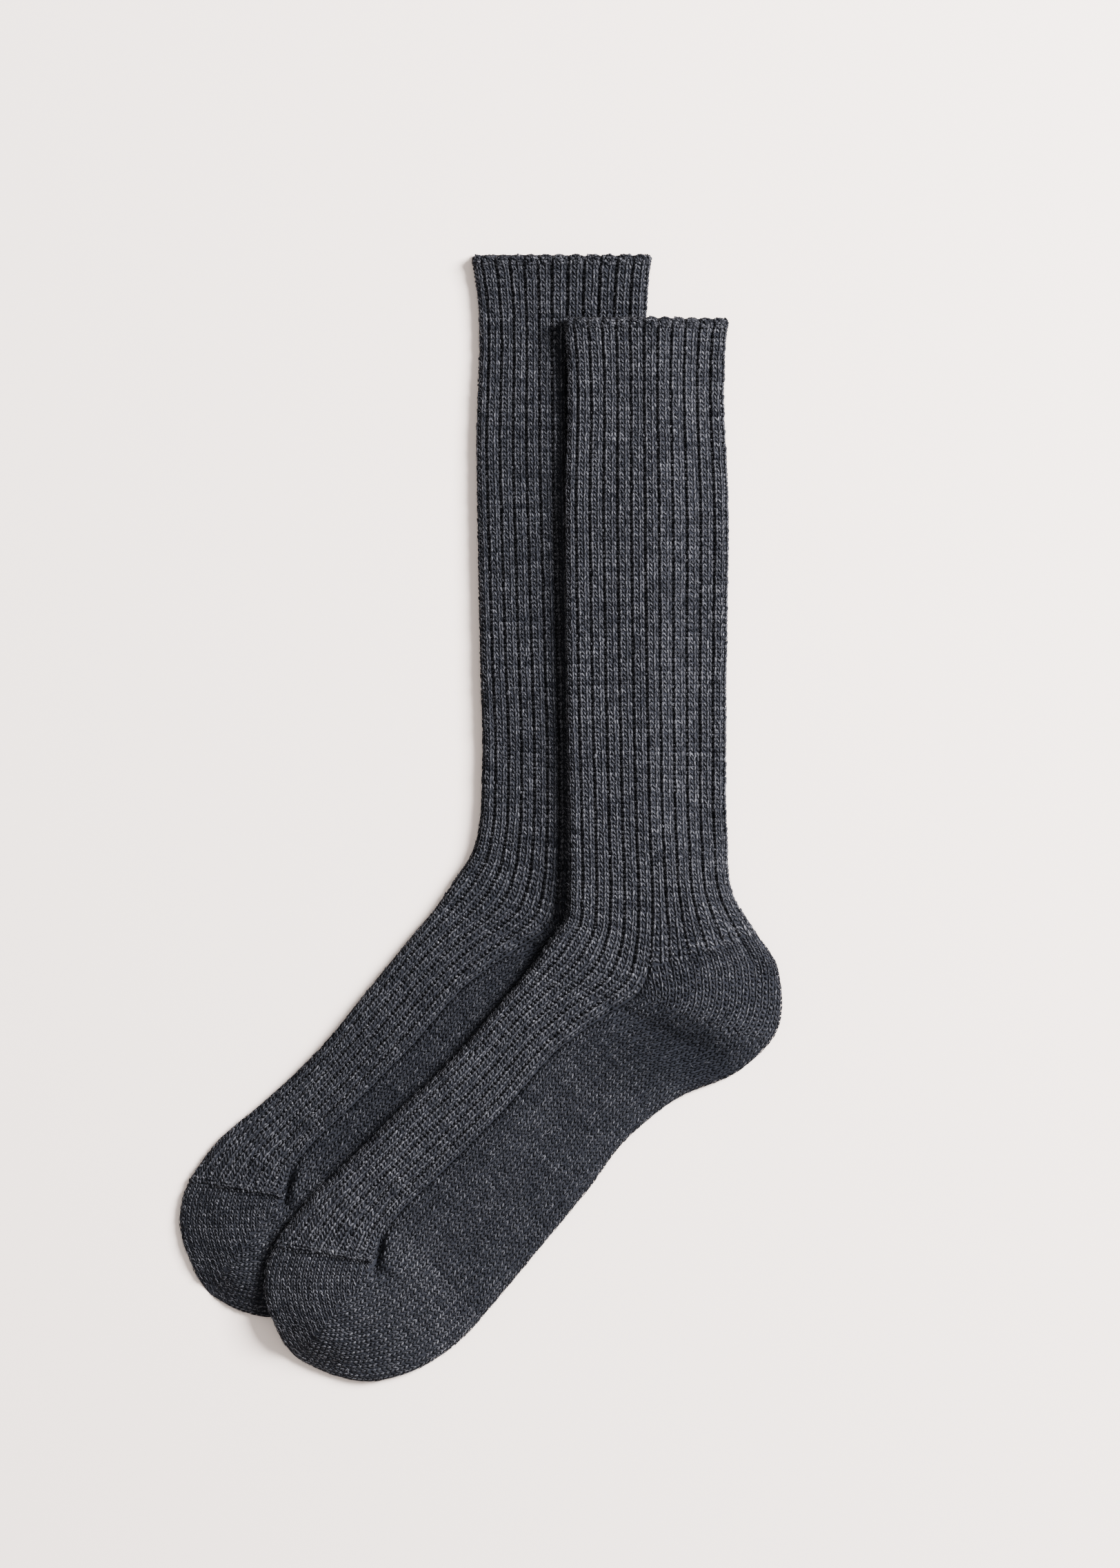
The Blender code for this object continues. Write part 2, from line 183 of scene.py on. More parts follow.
LEG_TURN = 0.09  # and how far they turn, as a share of their length
LEG_TONE = 0.06  # how much they differ in tone
STREAK_TONE = 0.05  # and how much the yarn's streaks do
STREAK_WALES = 3.4  # wales from one change of the yarn's tone to the next
STREAK_KNOTS = 12  # such changes in one course
DRIFTS = ((31.0, 0.02), (13.0, 0.015), (5.0, 0.012))  # courses in one wave, wales to a side
SOCK_TONES = {"sock_under": -0.05, "sock_over": 0.0}  # the lower sock's yarn is drawn this much darker
AREA_TONES = {"heel": -0.03, "sole": -0.06, "toe_sole": 0.03, "toe_top": 0.03}
GROOVE_SHADE = 0.03  # painted shade: how much darker the yarn is drawn at a groove's floor
RIM_STEP = 1.0  # between the loops of the cuff's turned edge
RIM_BACK = 0.4  # the lower rim's loops start this far down the leg
RIM_KNOB = (1.7, 1.0, 0.9)  # length, width and height of one of them
RIM_REACH = 1.3  # half-heights that they go round each fold
# painted shade: the upper rim's loops are drawn darker than the leg's yarn, against the light on
# their tops
RIM_PAINTED_SHADE = -0.12
# Rows of them over the upper rim: way down the leg, and how far below the crest line
RIM_ROWS = ((0.3, 1.9), (0.15, 1.1), (0.4, 0.35), (1.1, 0.1), (1.9, 0.15), (2.7, 0.3))
LOWER_RIM_ROWS = (0.7, 1.5, 2.2)  # heights of the rows along the lower rim
# painted shade: the lower rim's loops, below the upper rim, are drawn darker
LOWER_RIM_PAINTED_SHADE = -0.10
PURL_KNOB = (1.3, 1.1, 0.8)  # length, width and height of a purl loop
PURL_RISE = 0.30  # how far a purl loop stands above its groove's floor
PURL_SHADE = 0.03  # painted light: how much lighter a loop is drawn at a groove's floor, against the shade there
PURL_SPREAD = 15.0  # before a back rib's end, the purl loops spread over this length
PURL_SINK = 0.1  # their feet lie this far below the groove's floor
PURL_BESIDE = 0.16  # share of the pitch that the loops spread to each side
PURL_START = 0.35  # and how far along the spread the outer ones start
# painted shade: the purl loops are drawn darker than the ribs
PURL_PAINTED_SHADE = -0.02
PURL_OVER = 0.5  # they go this far past the rib's end
PURL_STRAY = 0.02  # and stray this far, in rib pitches
SEAM_STEP = 1.2  # between the loops of the toe's linked seam
SEAM_KNOB = (1.7, 0.95, 0.9)
SEAM_ROWS = ((-1.1, 0.1), (0.0, 0.0), (0.9, 0.45))  # way past the seam line, and how sunk
# tones of the seam's rows; the last row, in the trough past the seam, is drawn darker as painted
# shade
SEAM_TONES_AND_SHADE = (-0.06, -0.06, -0.12)
SEAM_REACH = 1.2  # half-heights that the seam goes under the front fold
SEAM_STRAY = 0.1
SEAM_SINK = 0.1
FIBRES = 4500  # loose fibres on each sock
FIBRE_LENGTHS = (1.2, 3.2)
FIBRE_WIDTH = 0.07
FIBRE_HEIGHTS = (0.1, 0.5)
FIBRE_RISE = 0.15  # they lie this far above the crest line
FIBRE_LEAN = (-0.1, 0.2)  # how much they point into the cloth or away from it
FIBRE_EDGES = (-0.8, 0.9)  # half-heights that some lie round a fold
KNOB_SIZES = (0.85, 1.2)  # a loop's least and greatest, as shares
KNOB_TURN = 0.6  # how far loops turn, in radians
KNOB_STRAY = 0.12  # how far they lie from their places
KNOB_TONE = 0.12  # and how much they differ in tone
YARN_HEIGHT = 0.95  # how high a leg stands, as a share of its width
CELL_EDGE = 0.08  # margin of a leg's square in the bake map
STITCH_SINK = 0.28  # a leg's middle lies this far below the crest line


def column(name):
    """One column of the section table as an array."""
    place = COLUMNS.index(name)
    return np.array([row[place] for row in SECTIONS], dtype=object if name == "name" else float)


def smooth(stations, values, at):
    """A curve through the table's values, with no corner at a row."""
    steps = np.diff(stations)
    slopes = np.diff(values) / steps
    tangents = np.empty(len(values))
    tangents[0], tangents[-1] = slopes[0], slopes[-1]
    tangents[1:-1] = (steps[:-1] * slopes[1:] + steps[1:] * slopes[:-1]) / (steps[:-1] + steps[1:])
    span = np.clip(np.searchsorted(stations, at, side="right") - 1, 0, len(steps) - 1)
    step = steps[span]
    part = (at - stations[span]) / step
    return ((1 + 2 * part) * (1 - part) ** 2 * values[span]
            + part * (1 - part) ** 2 * step * tangents[span]
            + part ** 2 * (3 - 2 * part) * values[span + 1]
            + part ** 2 * (part - 1) * step * tangents[span + 1])


def section_stations():
    """Where each row lies along the sock: the mean way that its three points have come."""
    ways = []
    for point in POINTS:
        ways.append(np.hypot(np.diff(column(point + "_x")), np.diff(column(point + "_y"))))
    return np.concatenate([[0.0], np.cumsum(np.mean(ways, axis=0))])


STATIONS = section_stations()
STATION = dict(zip(column("name"), STATIONS))


def ease(share):
    """A soft step from 0 to 1."""
    share = np.clip(share, 0.0, 1.0)
    return share * share * (3 - 2 * share)


def rings_at(sock, at):
    """The sizes of the sock's rings at the stations given, as a dictionary of arrays."""
    at = np.clip(at, 0.0, STATIONS[-1])
    ring = {name: smooth(STATIONS, column(name), at) for name in COLUMNS[1:]}
    ring["at"] = at
    if sock == "sock_under":
        for point in POINTS:
            ring[point + "_x"] = ring[point + "_x"] + UNDER_SHIFT[0] + ring["under_" + point]
            ring[point + "_y"] = ring[point + "_y"] + UNDER_SHIFT[1]
        ring["thick"] = np.minimum(ring["thick"], UNDER_THICK)
    for point in POINTS:
        ring[point] = np.stack([ring[point + "_x"], ring[point + "_y"]], axis=-1)
    nose = np.clip((at - STATIONS[-2]) / (STATIONS[-1] - STATIONS[-2]), 0.0, 0.999)
    ring["half"] = ring["thick"] / 2 * np.sqrt(1 - nose ** 2)
    ring["to_side"] = np.linalg.norm(ring["side"] - ring["front"], axis=-1)
    ring["to_back"] = np.linalg.norm(ring["back"] - ring["side"], axis=-1)
    ring["width"] = ring["to_side"] + ring["to_back"]
    ring["round"] = ring["width"] + (np.pi - 2) * ring["half"]
    ring["side_way"] = way_over(ring, ring["to_side"])
    ring["first_way"] = way_over(ring, ring["first"] * ring["to_side"])
    last = way_over(ring, ring["to_side"] + LAST_GROOVE * ring["to_back"])
    ring["front_pitch"] = (ring["side_way"] - ring["first_way"]) / (RIBS_PER_HALF - 1)
    ring["back_pitch"] = (last - ring["side_way"]) / RIBS_PER_HALF
    return ring


def way_over(ring, across):
    """The way over the cloth, from the front fold's outermost line, to a place across a ring."""
    half = ring["half"]
    near = np.minimum(across, ring["width"] - across)
    turn = np.arccos(np.clip((half - near) / half, -1.0, 1.0))
    way = np.where(near < half, half * turn, half * (np.pi / 2 - 1) + near)
    return np.where(across < ring["width"] / 2, way, ring["round"] - way)


def rib_place(ring, way):
    """Where a way over the ring lies among the ribs: whole numbers are grooves."""
    on_front = way < ring["side_way"]
    front = (way - ring["first_way"]) / ring["front_pitch"]
    back = RIBS_PER_HALF - 1 + (way - ring["side_way"]) / ring["back_pitch"]
    return np.where(on_front, front, back)


def rib_way(ring, place):
    """The way over the ring to a place among its ribs."""
    front = ring["first_way"] + place * ring["front_pitch"]
    back = ring["side_way"] + (place - RIBS_PER_HALF + 1) * ring["back_pitch"]
    return np.where(place < RIBS_PER_HALF - 1, front, back)


def seam_station(ring, way):
    """Where the toe seam crosses: it slants towards the toe on its way to the side line."""
    share = np.clip(way / ring["side_way"], 0, 1.2)
    return STATION["toe seam"] + SEAM_SLANT * share ** 2


def rib_relief(ring, way):
    """How far the grooves take the cloth below the crest line."""
    place = rib_place(ring, way)
    share = np.where(place < RIBS_PER_HALF - 0.5, ring["rib_front"], ring["rib_back"])
    share = np.sqrt(np.clip(share, 0, 1))
    share = share * ease((seam_station(ring, way) - PLAIN_BAND - ring["at"]) / RIB_FADE)
    beyond = place - np.round(place)
    from_groove = np.where(beyond > 0, beyond / STEEP_FLANK, -beyond / GENTLE_FLANK)
    depth = (RIB_DEPTH + GROOVE_EXTRA) * np.clip(share, 0, 1)
    on_top = ease((np.minimum(way, ring["round"] - way) + GROOVE_START) / GROOVE_GROW)
    return depth * on_top * (1 - ease(from_groove))


EDGE_POINTS = 160  # along the lower sock's back edge
BATCH = 4000  # places worked out at once


def lay_height(plan):
    """How high the lower sock holds the upper one at each place on the table."""
    edge = rings_at("sock_under", np.linspace(0, STATIONS[-1], EDGE_POINTS))["back"]
    ways = np.diff(edge, axis=0)
    lengths = np.maximum((ways ** 2).sum(axis=1), 1e-12)
    heights = np.empty(len(plan))
    for start in range(0, len(plan), BATCH):
        offset = plan[start:start + BATCH, None] - edge[None, :-1]
        share = np.clip((offset * ways).sum(axis=2) / lengths, 0, 1)
        away = offset - share[:, :, None] * ways
        distance = np.hypot(away[:, :, 0], away[:, :, 1])
        near = distance.argmin(axis=1)
        rows = np.arange(len(near))
        away = away[rows, near]
        outside = ways[near, 0] * away[:, 1] - ways[near, 1] * away[:, 0] > 0
        part = np.where(outside, (distance[rows, near] - DRAPE_START) / DRAPE_REACH, 0.0)
        heights[start:start + BATCH] = (UNDER_THICK + LAY_GAP) * (1 - ease(part))
    return heights


def lift_of(sock, plan):
    """How high a sock is held up at each place on the table."""
    return lay_height(plan) if sock == "sock_over" else np.zeros(len(plan))


def press(at, across, ring):
    """What is left of the cloth's height where it sinks towards its back edge and its toe."""
    share = EDGE_SINK * ease((at - STATION["heel top"]) / EDGE_GROW)
    back = share * (1 - ease((ring["width"] - across) / EDGE_REACH))
    in_toe = ease((at - STATION["ball"]) / (STATION["toe seam"] - STATION["ball"]))
    front = EDGE_SINK * in_toe * (1 - ease(across / EDGE_REACH))
    toe = TOE_SINK * (1 - ease((STATIONS[-1] - at) / TOE_REACH))
    return (1 - back) * (1 - front) * (1 - toe)


def hollow(sock, plan):
    """How far the cloth dips at each soft trough pressed into it."""
    shift = UNDER_SHIFT if sock == "sock_under" else (0.0, 0.0)
    dip = np.zeros(len(plan))
    for x, y, turn, long, wide, deep in HOLLOWS:
        offset = plan - np.array([x + shift[0], y + shift[1]])
        angle = np.radians(turn)
        along = offset @ np.array([np.cos(angle), np.sin(angle)])
        beside = offset @ np.array([-np.sin(angle), np.cos(angle)])
        dip += deep * np.exp(-(along / long) ** 2 - (beside / wide) ** 2)
    return dip


def skin(sock, at, way, sunk=0.0):
    """Points on the cloth's outside, as far below its crest line as sunk says."""
    at = np.asarray(at, float).ravel()
    way = np.asarray(way, float).ravel()
    ring = rings_at(sock, at)
    half = ring["half"]
    from_edge = np.minimum(way, ring["round"] - way)
    turn = np.clip(from_edge / half, -np.pi / 2, np.pi / 2)
    near = np.where(turn < np.pi / 2, half * (1 - np.cos(turn)), half + from_edge - half * np.pi / 2)
    on_front = way < ring["round"] / 2
    across = np.where(on_front, near, ring["width"] - near)
    down = np.minimum(rib_relief(ring, way) + sunk, half * GROOVE_LIMIT)
    lean = np.where(on_front, -1.0, 1.0) * np.cos(turn)
    plan = plan_point(ring, across - lean * down)
    height = (half * (1 + np.sin(turn)) - np.sin(turn) * down) * press(at, across, ring)
    past = at - seam_station(ring, way)
    ridge = (SEAM_RISE * np.exp(-(past / SEAM_WIDE) ** 2)
             - SEAM_TROUGH * np.exp(-((past - SEAM_TROUGH_AT) / SEAM_WIDE) ** 2))
    ridge = ridge * ease((ring["side_way"] - way) / SEAM_EASE)
    height = height + (ridge - hollow(sock, plan)) * np.clip(height / (2 * half), 0, 1)
    place = rib_place(ring, way)
    crest = np.sin(np.pi * (place - np.floor(place)))
    near_rim = 1 - ease(at / RIM_DEEP)
    plan[:, 1] += near_rim * SCALLOP * crest + np.maximum(-at, 0.0)
    return np.column_stack([plan, height + lift_of(sock, plan)])


def plan_point(ring, across):
    """The place on the table of a way across the ring, which turns at the side line."""
    on_front = across < ring["to_side"]
    share = np.where(on_front, across / ring["to_side"],
                     (across - ring["to_side"]) / ring["to_back"])
    start = np.where(on_front[:, None], ring["front"], ring["side"])
    end = np.where(on_front[:, None], ring["side"], ring["back"])
    return start + share[:, None] * (end - start)


# ---- where the stitches lie

WAY_POINTS = 900


def way_table(points):
    """The mean way that the named edge points have come at each of many stations."""
    at = np.linspace(0, STATIONS[-1], WAY_POINTS)
    ways = np.zeros(len(at) - 1)
    for point in points:
        x = smooth(STATIONS, column(point + "_x"), at)
        y = smooth(STATIONS, column(point + "_y"), at)
        ways = ways + np.hypot(np.diff(x), np.diff(y)) / len(points)
    return at, np.concatenate([[0.0], np.cumsum(ways)])


def station_after(points, start, course, courses):
    """The station so many courses after a named one, counted along the named edge points."""
    at, ways = way_table(points)
    return np.interp(np.interp(start, at, ways) + courses * course, ways, at)


def courses_between(points, start, end, course):
    """How many courses lie between two stations, along the named edge points."""
    at, ways = way_table(points)
    return (np.interp(end, at, ways) - np.interp(start, at, ways)) / course


def rib_courses(end):
    """How many courses the ribs have from the rim to a station."""
    return courses_between(("front", "side"), 0.0, end, COURSE)


GORE = STATION["heel gore"] + 0.3 * (STATION["heel base"] - STATION["heel gore"])
FADE_SLANT = 0.7  # the last rib row's side end, as a share of the way to "heel back"


def fade_station(span):
    """Where the back ribs end, for a share of the way from the side line to the back edge."""
    slant = FADE_SLANT * (STATION["heel back"] - STATION["heel top"])
    return STATION["heel top"] + slant * (1 - span)


def rib_station(wale, course):
    """The station of a rib stitch: near the toe the front edge takes more courses."""
    at, ways = way_table(("front", "side"))
    start = np.interp(STATION["mid foot"], at, ways)
    found = []
    for point in ("front", "side"):
        edge_ways = way_table((point,))[1]
        edge_ways = start + edge_ways - np.interp(STATION["mid foot"], at, edge_ways)
        found.append(np.interp(course * COURSE, np.where(ways < start, ways, edge_ways), at))
    share = np.clip((wale + 2) / (2 * RIBS_PER_HALF), 0, 1)
    return found[0] * (1 - share) + found[1] * share


def rib_lay(sock, wale, course):
    """Ribs: two knit wales in each, one course for each row round the sock."""
    at = rib_station(wale, course)
    ring = rings_at(sock, at)
    rib = np.floor(wale / 2)
    share = np.where(wale < 2 * RIBS_PER_HALF - 2, ring["rib_front"], ring["rib_back"])
    edge = RIB_EDGE * np.clip(share, 0, 1)
    return at, rib_way(ring, rib + edge + (wale / 2 - rib) * (1 - 2 * edge))


def heel_lay(sock, wale, course):
    """Heel pocket above its gore: wales run from the ribs' end down to the gore line."""
    across = (wale - NEW_WALES) / HEEL_WALES_PER_RIB
    span = np.clip(across / RIBS_PER_HALF, 0, 1)
    part = course / (HEEL_ROWS[0] + HEEL_ROWS[1] * span)
    fade = fade_station(span)
    at = fade + (GORE - fade) * part
    ring = rings_at(sock, at)
    start = across * ring["back_pitch"]
    end = (ring["round"] + ring["half"] * HEEL_TUCK - ring["side_way"]) * wale / HEEL_WALES
    return at, ring["side_way"] + start + (end - start) * part


def sole_lay(sock, wale, course):
    """Sole: wales leave the gore line, turn along the foot and run on to the toe."""
    share = wale / SOLE_WALES
    rows = SOLE_ROWS[0] + SOLE_ROWS[1] * np.clip(share, 0.0, 1.0)
    part = np.clip(1 + course / rows, 0.0, 1.0)
    before = GORE + part * (STATION["arch"] - GORE)
    after = station_after(("side", "back"), STATION["arch"], SOLE_COURSE, np.maximum(course, 0.0))
    at = np.where(course < 0, before, after)
    ring = rings_at(sock, at)
    inside = np.minimum(share, 1.0)
    turned = inside + SOLE_TURN * inside * (1 - inside) * (1 - part) ** 1.5
    way = ring["side_way"] + turned * (ring["round"] - ring["side_way"])
    return at, way + np.maximum(wale - SOLE_WALES, 0.0) * FOLD_WALE


def toe_sole_lay(sock, wale, course):
    """Toe pocket below its gore: wales keep their distance from the back edge."""
    at = station_after(("side", "back"), STATION["toe root"], COURSE, course)
    ring = rings_at(sock, at)
    root = rings_at(sock, np.full(1, STATION["toe root"]))
    pitch = (root["round"] - root["side_way"])[0] / SOLE_WALES
    return at, ring["round"] - (SOLE_WALES - wale) * pitch


def toe_top_lay(sock, wale, course):
    """Toe pocket above its gore: wales keep their distance from the front edge."""
    at = station_after(("front",), STATION["toe seam"], TOE_COURSE, course)
    return at, wale * TOE_WALE


def areas():
    """Every knitted area: its name, its lay, its first and last wale, its first and last course,
    and whether its stitches lie before the side line (-1) or past it (1)."""
    to_seam = rib_courses(STATION["toe seam"])
    to_fade = rib_courses(STATION["heel back"])
    to_bend = rib_courses(STATION["ankle"])
    to_root = courses_between(("side", "back"), STATION["arch"], STATION["toe root"], SOLE_COURSE)
    toe_rows = courses_between(("side", "back"), STATION["toe root"], STATIONS[-1], COURSE)
    toe_top_rows = courses_between(("front",), STATION["toe seam"], STATIONS[-1], TOE_COURSE)
    return (
        ("leg_front", rib_lay, -8, 10, 1, to_bend, -1),
        ("leg_back", rib_lay, 10, 28, 1, to_fade, 1),
        ("instep", rib_lay, -8, 10, to_bend, to_seam + 30, -1),
        ("heel", heel_lay, 0, 30, 0, 30, 1),
        ("sole", sole_lay, 0, 28, -25, to_root, 1),
        ("toe_sole", toe_sole_lay, -10, 28, 0, toe_rows, 1),
        ("toe_top", toe_top_lay, -4, 24, 0.5, toe_top_rows, -1),
    )


def unit(vectors):
    """The vectors at length one."""
    return vectors / np.maximum(np.linalg.norm(vectors, axis=1, keepdims=True), 1e-9)


def yarn_tones(wale, course, rng):
    """Melange: the yarn runs along the courses, so neighbours in a course are alike."""
    rows = (course - course.min()).astype(int)
    streaks = rng.normal(0, 1, (rows.max() + 2, STREAK_KNOTS))
    knots = np.clip((wale - wale.min()) / STREAK_WALES, 0, STREAK_KNOTS - 1.01)
    low = knots.astype(int)
    part = ease(knots - low)
    return streaks[rows, low] * (1 - part) + streaks[rows, low + 1] * part


def stitch_legs(sock, area, seed):
    """The legs of every stitch in one area: middles, directions, sizes and tones."""
    name, lay, first_wale, last_wale, first_course, last_course, side = area
    rng = np.random.default_rng(seed)
    wale, course = np.meshgrid(np.arange(first_wale, last_wale) + 0.5,
                               np.arange(np.ceil(first_course), np.ceil(last_course)) + 0.5)
    wale, course = wale.ravel(), course.ravel()
    at, way = lay(sock, wale, course)
    ring = rings_at(sock, at)
    under = ring["half"] * UNDER_REACH
    kept = (way > -under) & (way < ring["round"] + under)
    kept &= at < STATIONS[-1] - TIP_CLEAR
    kept &= (way - ring["side_way"]) * side > 0
    if name == "instep":
        kept &= at < seam_station(ring, way)
    if name == "toe_top":
        kept &= at > seam_station(ring, way) + SEAM_CLEAR
    if name == "leg_back":
        span = np.clip((way - ring["side_way"]) / (ring["round"] - ring["side_way"]), 0, 1)
        kept &= at < fade_station(span)
    if name == "heel":
        kept &= at < GORE + GORE_OVER
    if name == "sole":
        kept &= at > GORE - GORE_BEFORE
    wale, course = wale[kept], course[kept]
    streak = yarn_tones(wale, course, rng)
    found = []
    choices = [(HEEL_LEGS if lay is heel_lay else PLAIN_LEGS, wale, course, streak)]
    if lay is rib_lay:
        left = np.floor(wale) % 2 == 0
        choices = [(RIB_LEFT_LEGS, wale[left], course[left], streak[left]),
                   (RIB_RIGHT_LEGS, wale[~left], course[~left], streak[~left])]
    for legs, wale, course, streak in choices:
        drift = wander(wale, course, seed)
        for leg in legs:
            found.append(place_leg(sock, lay, leg, wale + drift, course, streak, rng))
    return joined(found)


def joined(rows):
    """One table of many: each key's arrays, one after the other."""
    return {key: np.concatenate([row[key] for row in rows]) for key in rows[0]}


def wander(wale, course, seed):
    """How far each stitch has drifted to a side, in wales: no machine knits quite straight."""
    rng = np.random.default_rng(seed)
    drift = np.zeros(len(wale))
    for pitch, amount in DRIFTS:
        phase = rng.uniform(0, 2 * np.pi, 200)[np.floor(wale).astype(int)]
        drift += amount * np.sin(2 * np.pi * course / pitch + phase)
    return drift


def place_leg(sock, lay, leg, wale, course, streak, rng):
    """The same leg of many stitches: middles, directions, sizes and tones, with painted shade in
    grooves and troughs.
    """
    head_wale, foot_wale, reach, width, tone = leg
    middle = wale + (head_wale + foot_wale) / 2

    def spot(wales, courses):
        return skin(sock, *lay(sock, wales, courses), STITCH_SINK)

    centre = spot(middle, course)
    along = spot(wale + foot_wale, course + reach) - spot(wale + head_wale, course - reach)
    length = np.linalg.norm(along, axis=1)
    across = spot(middle + 0.25, course) - spot(middle - 0.25, course)
    outward = unit(np.cross(unit(along), unit(across)))
    spread = np.linalg.norm(across - (across * unit(along)).sum(1)[:, None] * unit(along), axis=1)
    count = len(wale)
    wide = spread * 2 * width * rng.uniform(*LEG_WIDTHS, count)
    return {
        "middle": centre + rng.normal(0, LEG_STRAY, (count, 3)),
        "along": unit(along + rng.normal(0, LEG_TURN, (count, 3)) * length[:, None]),
        "outward": outward,
        "size": np.column_stack([length * rng.uniform(*LEG_LENGTHS, count), wide,
                                 wide * YARN_HEIGHT]),
        "tone": tone + STREAK_TONE * streak + rng.normal(0, LEG_TONE, count)
        # painted shade: yarn drawn darker towards a groove's floor and in the troughs
        - GROOVE_SHADE * groove_share(sock, *lay(sock, middle, course))
        - HOLLOW_SHADE * hollow(sock, centre[:, :2]),
    }


def groove_share(sock, at, way):
    """How deep in a groove a place lies, from 0 on a rib to 1 at the groove's floor."""
    return rib_relief(rings_at(sock, at), way) / (RIB_DEPTH + GROOVE_EXTRA)


def knobs(middle, along, outward, size, tone, rng):
    """Short loops of yarn, each turned at random about its outward direction."""
    count = len(middle)
    along = unit(along - (along * outward).sum(1)[:, None] * outward)
    beside = np.cross(outward, along)
    turn = rng.normal(0, KNOB_TURN, count)[:, None]
    grown = rng.uniform(*KNOB_SIZES, (count, 1)) * np.asarray(size)
    return {"middle": middle + rng.normal(0, KNOB_STRAY, (count, 3)),
            "along": along * np.cos(turn) + beside * np.sin(turn),
            "outward": outward, "size": grown, "tone": tone + rng.normal(0, KNOB_TONE, count)}


def ways_on(sock, at, way, sunk=0.0, step=0.4):
    """The ways across and along the cloth at places on it, and the way out of it."""
    across = skin(sock, at, way + step, sunk) - skin(sock, at, way - step, sunk)
    along = skin(sock, at + step, way, sunk) - skin(sock, at - step, way, sunk)
    return across, along, unit(np.cross(unit(along), unit(across)))


def purl_knobs(sock, seed):
    """Purl stitches: low loops across every groove, which spread where the back ribs end."""
    rng = np.random.default_rng(seed)
    rows = []
    courses = np.arange(1.5, rib_courses(STATION["toe seam"]))
    every = station_after(("front", "side"), 0.0, COURSE, courses)
    for groove in range(-1, 2 * RIBS_PER_HALF):
        at, near_end = every, np.zeros(len(every))
        if groove >= RIBS_PER_HALF - 1:
            fade = fade_station((groove - RIBS_PER_HALF + 1) / RIBS_PER_HALF)
            at = every[every < fade + PURL_OVER]
            near_end = ease((at - fade + PURL_SPREAD) / PURL_SPREAD)
        for beside in (0.0, -1.0, 1.0):
            wide = near_end >= PURL_START * abs(beside)
            ring = rings_at(sock, at[wide])
            place = groove + beside * PURL_BESIDE * near_end[wide]
            way = rib_way(ring, place + rng.normal(0, PURL_STRAY, len(place)))
            kept = (way > -ring["half"]) & (way < ring["round"] + ring["half"])
            stop, way, grown = at[wide][kept], way[kept], near_end[wide][kept]
            across, _, outward = ways_on(sock, stop, way, PURL_SINK, 0.3)
            rise = PURL_RISE * groove_share(sock, stop, way)[:, None]
            middle = skin(sock, stop, way, PURL_SINK) + outward * rise
            # painted light at a groove's floor, painted shade on every loop
            tone = PURL_SHADE * (1 - grown) + PURL_PAINTED_SHADE
            rows.append(knobs(middle, across, outward, PURL_KNOB, tone, rng))
    return joined(rows)


def seam_knobs(sock, seed):
    """The linked seam across the toe: rows of small loops over the front half."""
    rng = np.random.default_rng(seed)
    rows = []
    ring = rings_at(sock, np.full(1, STATION["toe seam"]))
    for (offset, sunk), tone in zip(SEAM_ROWS, SEAM_TONES_AND_SHADE):
        way = np.arange(-ring["half"][0] * SEAM_REACH, ring["side_way"][0], SEAM_STEP)
        way = way + rng.normal(0, KNOB_STRAY, len(way))
        at = seam_station(ring, way) + offset + rng.normal(0, SEAM_STRAY, len(way))
        across, along, outward = ways_on(sock, at, way, sunk)
        middle = skin(sock, at, way, sunk + SEAM_SINK)
        rows.append(knobs(middle, across + 0.5 * along, outward, SEAM_KNOB, tone, rng))
    return joined(rows)


def loose_fibres(sock, count, seed):
    """Fine fibres that stand a little off the cloth, half of them near its folded edges."""
    rng = np.random.default_rng(seed)
    at = rng.uniform(0.0, STATIONS[-1] - 0.5, count)
    ring = rings_at(sock, at)
    share = rng.uniform(0, 1, count)
    near = rng.uniform(0, 1, count) < 0.5
    edge = rng.uniform(*FIBRE_EDGES, count) * ring["half"]
    way = np.where(near, np.where(share < 0.5, edge, ring["round"] - edge), share * ring["round"])
    across, along, outward = ways_on(sock, at, way)
    turn = rng.uniform(0, 2 * np.pi, count)[:, None]
    run = unit(across) * np.cos(turn) + unit(along) * np.sin(turn)
    run = unit(run + outward * rng.uniform(*FIBRE_LEAN, count)[:, None])
    size = np.column_stack([rng.uniform(*FIBRE_LENGTHS, count), np.full(count, FIBRE_WIDTH),
                            rng.uniform(*FIBRE_HEIGHTS, count)])
    return {"middle": skin(sock, at, way, -FIBRE_RISE), "along": run, "outward": outward,
            "size": size, "tone": rng.normal(0.25, 0.1, count)}


